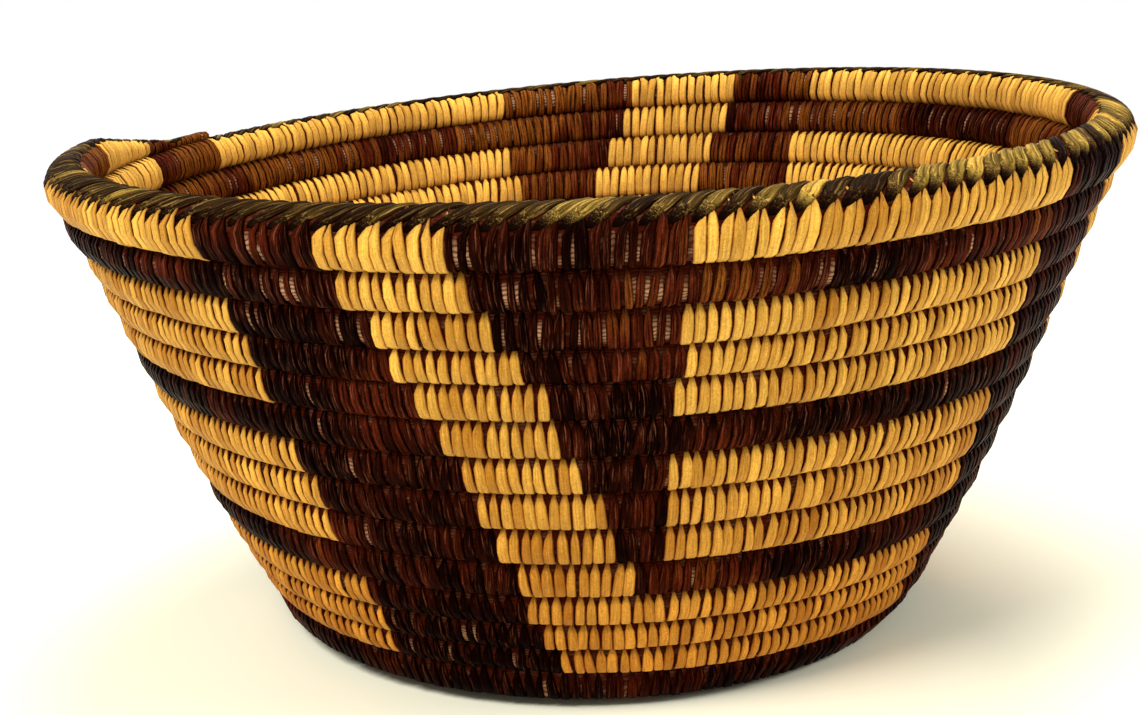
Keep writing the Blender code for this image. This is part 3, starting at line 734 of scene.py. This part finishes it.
def stem_nodes(name, colours, bare):
    """Stems along the coil with dark lines between them as painted shade: tan where bare, else
    mostly the groove colour, partly stain and partly painted shade. Bare stems are painted darker
    towards the grooves, as shade.
    """
    n = Nodes(name)
    place = n.add("ShaderNodeTexCoord")
    around = n.add("ShaderNodeSeparateXYZ", {"Vector": place.outputs["UV"]}).outputs["Y"]
    wander = n.noise(place.outputs["Object"], 260.0, 2.0)
    # Painted shade: dark lines between the stems
    stem = n.math("ADD", n.math("MULTIPLY", around, 30.0), n.math("MULTIPLY", wander, 2.5))
    stem = n.math("ABSOLUTE", n.math("SUBTRACT", n.math("FRACT", stem), 0.5))
    stem = n.math("SUBTRACT", 1.0, n.math("POWER", n.math("MULTIPLY", stem, 2.0), 2.0))
    blotch = n.noise(place.outputs["Object"], 500.0 - 300.0 * bare, 2.0)
    seen = n.math("SUBTRACT", blotch, 0.5 - 0.15 * bare)
    seen = n.math("MULTIPLY", seen, 1.0 + 3.0 * bare, clamp=True)
    # Painted shade: bare stems darken towards the grooves above and below them
    level = n.math("COSINE", n.math("MULTIPLY", around, 2 * math.pi))
    level = n.math("POWER", n.math("ABSOLUTE", level), 4.0 * bare)
    seen = n.math("MULTIPLY", seen, level)
    colour = n.mix(n.math("MULTIPLY", stem, seen), tuple(colours.groove), tuple(colours.grass))
    n.feed(n.shader.inputs["Base Color"], colour)
    n.shader.inputs["Roughness"].default_value = 0.7
    n.shader.inputs["Specular IOR Level"].default_value = 0.02
    n.bump(stem, 0.5, 0.3 * MM)
    return n.material


class BASKET_OT_foundation(bpy.types.Operator):
    """The grass bundle, one unbroken spiral tube that shows between the splints"""
    bl_idname = "basket.foundation"
    bl_label = "Foundation coil"

    def execute(self, context):
        bowl = Bowl(context.scene)
        turns = np.linspace(0.0, bowl.start_turn, 2700)
        around = 24
        path = np.linspace(0.0, 2 * math.pi, around, endpoint=False)[None, :]
        # A superellipse carried along the coil's path, waved by its stems, rounded at its ends
        ends = smooth(-0.001, 0.02, bowl.start_turn - turns)
        ends = np.sqrt(smooth(-0.001, 0.004, turns) * ends)
        ends = np.maximum(ends, 0.05)[:, None]
        stems = 1.0 - 0.05 * np.abs(np.sin(path * 6 + turns[:, None] * 3.0))
        up, out = squared(np.sin(path)), squared(np.cos(path))
        half_width = bowl.width(turns)[:, None] / 2 * 1.03 * ends
        half_depth = (bowl.thickness(turns)[:, None] / 2 - 0.72 * MM) * ends * stems
        along = bowl.middle(turns)[:, None] + up * half_width
        points = worn_flat(bowl.point(along, out * half_depth, bowl.angle(turns)[:, None]))
        faces = tube_faces(1, len(turns), around, closed=False)
        uv = spread(turns[:, None] * STEPS, path / (2 * math.pi), along.shape)
        colours, splints = context.scene.basket_colours, context.scene.basket_splints
        material = stem_nodes("stained_and_shaded_grass", colours, 0.0)
        add_piece("foundation_stems", points, faces, material,
                  ["foundation_coil"], uv)
        dark = [run for repeat in range(len(SIDES)) for run in fret_runs(repeat)]
        stitches = bowl.stitch_turns(splints.stitch)
        points, uv = bared_stems(bowl, splints, stitches[turns_in(stitches, dark)])
        faces = tube_faces(len(points), points.shape[1], points.shape[2], closed=True)
        material = stem_nodes("bare_grass", colours, 1.0)
        add_piece("bared_stems", points, faces, material, [], uv)
        return {"FINISHED"}


class BASKET_OT_dark_sewing(bpy.types.Operator):
    """The dark splints: four stepped frets with the heel round, and the base's middle"""
    bl_idname = "basket.dark_sewing"
    bl_label = "Dark sewing"

    def execute(self, context):
        scene = context.scene
        material = dark_splint(scene.basket_colours)
        areas = [("dark_fret_" + side, fret_runs(repeat)) for repeat, side in enumerate(SIDES)]
        areas.append(("base_dark_rounds", [base_dark_run(Bowl(scene))]))
        for index, (name, runs) in enumerate(areas):
            sew_area(scene, name + "_splints", [name], runs, material, index,
                     scene.basket_splints.slots)
        return {"FINISHED"}


class BASKET_OT_light_sewing(bpy.types.Operator):
    """The light splints: slanting bands, panels between the bars, and the base's rounds"""
    bl_idname = "basket.light_sewing"
    bl_label = "Light sewing"

    def execute(self, context):
        scene = context.scene
        material = light_splint(scene.basket_colours)
        areas = []
        for repeat, side in enumerate(SIDES):
            areas.append(("light_slant_" + side, slant_runs(repeat)))
            areas.append(("light_rim_panel_" + side, panel_runs(repeat, 1, FIRST_LINE - 1)))
            areas.append(("light_upper_panel_" + side,
                          panel_runs(repeat, FIRST_LINE + 1, MIDDLE_LINE - 1)))
            areas.append(("light_lower_panel_" + side,
                          panel_runs(repeat, MIDDLE_LINE + 1, LAST_LINE - 1)))
        areas.append(("base_light_rounds", [(heel_end(), base_dark_run(Bowl(scene))[0])]))
        for index, (name, runs) in enumerate(areas):
            sew_area(scene, name + "_splints", [name], runs, material, 10 + index)
        return {"FINISHED"}


class BASKET_OT_rim_binding(bpy.types.Operator):
    """The overcast strands that lie slantwise over the rim, from outside below to inside"""
    bl_idname = "basket.rim_binding"
    bl_label = "Rim binding"

    def execute(self, context):
        scene = context.scene
        bowl, rim = Bowl(scene), scene.basket_rim
        rng = np.random.default_rng(scene.basket_splints.seed * 100 + 50)
        length = 2 * math.pi * float(bowl.radius(bowl.rim_length))
        stitches = bowl.stitch_turns(scene.basket_splints.stitch)
        stitches = stitches[stitches < 0.997]
        turns = ((stitches[1:-1:2] + stitches[2::2]) / 2)[:, None, None]
        each = turns.shape
        path = np.linspace(0.0, 1.0, 17)[None, :, None]
        ring = np.append(np.linspace(-1.0, 1.0, 11), 0.0)[None, None, :]
        under = np.append(np.zeros(11), 1.0)[None, None, :]
        # A strand runs along the rim by a power of its way, and evenly over the rim's section
        # from outside to inside. Across it is half a ring with three ridges, closed underneath.
        girth = rim.outer_reach + rim.inner_reach
        reach = rim.reach * (1 + 0.12 * (rng.random(each) - 0.5))
        turned = reach * rim.bend * path ** (rim.bend - 1)
        steep = np.hypot(turned, girth)
        taper = np.sqrt(smooth(-0.02, 0.10, path) * smooth(-0.02, 0.2, 1 - path))
        half = rim.width / 2 * (0.30 + 0.70 * taper) * (0.60 + 0.40 * smooth(0.0, 0.35, path))
        half = half * (1 + 0.2 * (rng.random(each) - 0.5))
        side = ring * half
        bow = 0.4 * MM * rng.standard_normal(each) * np.sin(math.pi * path)
        along = reach * path ** rim.bend + side * girth / steep + bow
        over = rim.outer_reach - path * girth + side * turned / steep
        strands = 0.30 * np.abs(np.cos(1.5 * math.pi * ring)) + 0.70
        crown = np.sqrt(np.clip(1.0 - ring * ring, 0.0, 1.0)) * strands * (1 - under)
        risen = 0.45 + 0.55 * smooth(0.05, 0.35, path)
        lift = rim.rise * (0.15 + 0.85 * crown - 0.5 * under) * taper * risen
        lift = lift - 0.5 * MM * (1 - taper)
        spot = np.clip(turns + along / length, 0.0, 1.0)
        half_depth = bowl.thickness(spot) / 2
        turning = np.clip(over / half_depth, -1.5, 1.5)
        lift = lift * bowl.fullness(spot)
        up = squared(np.cos(turning)) * (bowl.width(spot) / 2 + lift)
        out = squared(np.sin(turning)) * (half_depth * 0.98 + lift)
        points = bowl.point(bowl.middle(spot) + up, out, bowl.angle(spot))
        faces = tube_faces(each[0], points.shape[1], points.shape[2], False, clockwise=False)
        # Painted sheen: strands are paler on the front right, and paler from the rim's top on than
        # at their dark outer ends; a few pale ones anywhere and the tone spread differ at random
        angle = bowl.angle(turns)
        right = smooth(-0.15, 0.50, np.sin(angle)) * smooth(-0.6, 0.3, np.cos(angle))
        pale = rng.random(each) < 0.07 + rim.sheen_share * right
        tone = 0.04 + rng.random(each) * (0.18 + 0.42 * right)
        tone = tone + pale * (0.25 + 0.2 * rng.random(each))
        tone = np.broadcast_to(tone * smooth(0.08, 0.40, path), up.shape)
        uv = spread(path, (ring + 1) / 2, up.shape)
        material = rim_splint(scene.basket_colours)
        add_piece("rim_overcast", points, faces, material, ["rim_binding"], uv,
                  {"tone": tone})
        return {"FINISHED"}


class BASKET_OT_start_knot(bpy.types.Operator):
    """The start knot: a low button wound with splints, out to where the coil begins round it"""
    bl_idname = "basket.start_knot"
    bl_label = "Start knot"

    def execute(self, context):
        bowl = Bowl(context.scene)
        rows, columns = 14, 90
        down = np.linspace(0.03, math.pi - 0.03, rows)[:, None]
        turns = bowl.start_turn - 1 + np.linspace(0.0, 1.0, columns, endpoint=False)[None, :]
        # A flattened ball out to the coil's inner edge, with ridges that twist as they go down
        angle = bowl.angle(turns)
        twisted = angle + 0.9 * np.cos(down)
        ridge = 1.0 + 0.07 * np.abs(np.sin(4.5 * twisted)) * np.sin(down)
        reach = (bowl.radius(bowl.groove(turns)) - 0.3 * MM) * np.sin(down) ** 0.7 * ridge
        low, high = (np.array(corner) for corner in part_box("start_knot"))
        middle = (low + high) / 2
        rise = (high[2] - low[2]) / 2 * np.cos(down) * (0.94 + 0.06 * ridge)
        points = np.stack(np.broadcast_arrays(reach * np.sin(angle) + middle[0],
                                              middle[1] - reach * np.cos(angle),
                                              rise + middle[2]), axis=-1)
        faces = tube_faces(1, rows, columns, closed=False)
        uv = spread(down / math.pi, (4.5 * twisted / math.pi) % 1.0, reach.shape)
        tone = np.full(reach.shape, 0.35)
        material = bpy.data.materials["dark_sewing"]
        add_piece("start_knot_splints", points, faces, material, ["start_knot"], uv,
                  {"tone": tone})
        return {"FINISHED"}


def table_nodes(colour):
    """A pale table that passes into white away from the basket, by its own coordinates. Near the
    basket it is yellower: painted shade, the warm tint of the basket's shadow and of the light it
    throws back.
    """
    n = Nodes("pale_table")
    place = n.add("ShaderNodeTexCoord").outputs["Object"]
    far = n.add("ShaderNodeVectorMath", {0: place}, operation="LENGTH").outputs["Value"]
    near = n.math("DIVIDE", n.math("SUBTRACT", far, 0.17), 0.5, clamp=True)
    n.feed(n.shader.inputs["Base Color"], n.mix(near, tuple(colour), (0.97, 0.97, 0.96)))
    n.shader.inputs["Roughness"].default_value = 0.6
    glow = n.add("ShaderNodeEmission", {"Color": (1.0, 1.0, 1.0, 1.0), "Strength": 1.0})
    rays = n.add("ShaderNodeLightPath")
    seen = n.math("MAXIMUM", rays.outputs["Is Camera Ray"], rays.outputs["Is Glossy Ray"])
    seen = n.math("MAXIMUM", seen, rays.outputs["Is Transmission Ray"])
    blend = n.add("ShaderNodeMixShader", {0: n.math("MULTIPLY", near, seen)})
    n.tree.links.new(n.shader.outputs[0], blend.inputs[1])
    n.tree.links.new(glow.outputs[0], blend.inputs[2])
    output = n.tree.nodes["Material Output"]
    n.tree.links.new(blend.outputs[0], output.inputs["Surface"])
    return n.material


LAMP_AIM = (0.0, 0.0, 0.05)


def add_lamp(name, place, size, power, colour):
    data = bpy.data.lights.new(name, "AREA")
    data.shape = "DISK"
    data.size = size
    data.energy = power
    data.color = colour
    lamp = bpy.data.objects.new(name, data)
    lamp.location = place
    way = Vector(LAMP_AIM) - Vector(place)
    lamp.rotation_euler = way.to_track_quat("-Z", "Y").to_euler()
    bpy.context.scene.collection.objects.link(lamp)


class BASKET_OT_stage(bpy.types.Operator):
    """The pale table, soft studio lamps and the camera at the photograph's angle"""
    bl_idname = "basket.stage"
    bl_label = "Stage"

    def execute(self, context):
        scene, stage = context.scene, context.scene.basket_stage
        half = 6.0
        corners = [(-half, -half, 0.0), (half, -half, 0.0), (half, half, 0.0), (-half, half, 0.0)]
        mesh = bpy.data.meshes.new("table")
        mesh.from_pydata(corners, [], [(0, 1, 2, 3)])
        mesh.materials.append(table_nodes(stage.table))
        table = bpy.data.objects.new("table", mesh)
        scene.collection.objects.link(table)

        add_lamp("key_lamp", (-0.55, -0.65, 0.95), 0.55, 15.5, (1.0, 0.98, 0.95))
        add_lamp("side_lamp", (0.95, -0.25, 0.6), 0.6, 6.0, (1.0, 0.99, 0.97))
        add_lamp("top_lamp", (0.1, 0.5, 1.1), 0.7, 12.0, (1.0, 1.0, 1.0))

        world = bpy.data.worlds.new("studio")
        world.use_nodes = True
        nodes, links = world.node_tree.nodes, world.node_tree.links
        soft = nodes["Background"]
        soft.inputs["Color"].default_value = (1.0, 0.96, 0.85, 1.0)
        soft.inputs["Strength"].default_value = 0.46
        white = nodes.new("ShaderNodeBackground")
        white.inputs["Color"].default_value = (1.0, 1.0, 1.0, 1.0)
        rays = nodes.new("ShaderNodeLightPath")
        seen = rays.outputs["Is Camera Ray"]
        for ray in ("Is Glossy Ray", "Is Transmission Ray"):
            either = nodes.new("ShaderNodeMath")
            either.operation = "MAXIMUM"
            links.new(seen, either.inputs[0])
            links.new(rays.outputs[ray], either.inputs[1])
            seen = either.outputs[0]
        blend = nodes.new("ShaderNodeMixShader")
        links.new(seen, blend.inputs[0])
        links.new(soft.outputs[0], blend.inputs[1])
        links.new(white.outputs[0], blend.inputs[2])
        links.new(blend.outputs[0], nodes["World Output"].inputs["Surface"])
        scene.world = world
        scene.view_settings.view_transform = "Standard"

        data = bpy.data.cameras.new("camera")
        data.lens = stage.lens
        data.sensor_width = 36.0
        data.clip_start = 0.01
        data.clip_end = 50.0
        camera = bpy.data.objects.new("camera", data)
        camera.matrix_world = camera_place(stage)
        scene.collection.objects.link(camera)
        scene.camera = camera
        return {"FINISHED"}


def camera_place(stage):
    """The camera's place: circling the basket's axis, then turned, tilted and rolled."""
    low, high = math.sin(stage.elevation), math.cos(stage.elevation)
    away = -stage.distance * high
    place = Vector((stage.aside, away, stage.distance * low + stage.aim_height))
    right, forward = Vector((1, 0, 0)), Vector((0, high, -low))
    up = right.cross(forward)
    forward = forward * math.cos(stage.tilt) + up * math.sin(stage.tilt)
    up = right.cross(forward)
    forward = forward * math.cos(stage.yaw) + right * math.sin(stage.yaw)
    right = forward.cross(up)
    up = up * math.cos(stage.roll) + right * math.sin(stage.roll)
    right = forward.cross(up)
    turned = Matrix((right, up, -forward)).transposed().to_4x4()
    return Matrix.Translation(place) @ turned


class BASKET_PT_panel(bpy.types.Panel):
    """Lists the basket's sizes, colours and steps"""
    bl_idname = "BASKET_PT_panel"
    bl_label = "Coiled bowl basket"
    bl_space_type = "VIEW_3D"
    bl_region_type = "UI"
    bl_category = "Basket"

    def draw(self, context):
        for group in GROUPS:
            box = self.layout.box()
            box.label(text=group[0].replace("basket_", "").capitalize())
            values = getattr(context.scene, group[0])
            for key in group[1].__annotations__:
                box.prop(values, key)
        for step in STAGES:
            self.layout.operator(step.bl_idname)


GROUPS = (
    ("basket_coil", CoilSizes),
    ("basket_bowl", BowlSizes),
    ("basket_splints", SplintSizes),
    ("basket_rim", RimSizes),
    ("basket_colours", SplintColours),
    ("basket_stage", StageSizes),
)
STAGES = (
    BASKET_OT_foundation,
    BASKET_OT_dark_sewing,
    BASKET_OT_light_sewing,
    BASKET_OT_rim_binding,
    BASKET_OT_start_knot,
    BASKET_OT_stage,
)


def register():
    for name, group in GROUPS:
        bpy.utils.register_class(group)
        setattr(bpy.types.Scene, name, PointerProperty(type=group))
    for step in STAGES:
        bpy.utils.register_class(step)
    bpy.utils.register_class(BASKET_PT_panel)


def unregister():
    bpy.utils.unregister_class(BASKET_PT_panel)
    for step in reversed(STAGES):
        bpy.utils.unregister_class(step)
    for name, group in reversed(GROUPS):
        delattr(bpy.types.Scene, name)
        bpy.utils.unregister_class(group)


def main():
    register()
    bpy.ops.basket.foundation()
    bpy.ops.basket.dark_sewing()
    bpy.ops.basket.light_sewing()
    bpy.ops.basket.rim_binding()
    bpy.ops.basket.start_knot()
    bpy.ops.basket.stage()


if __name__ == "__main__":
    main()
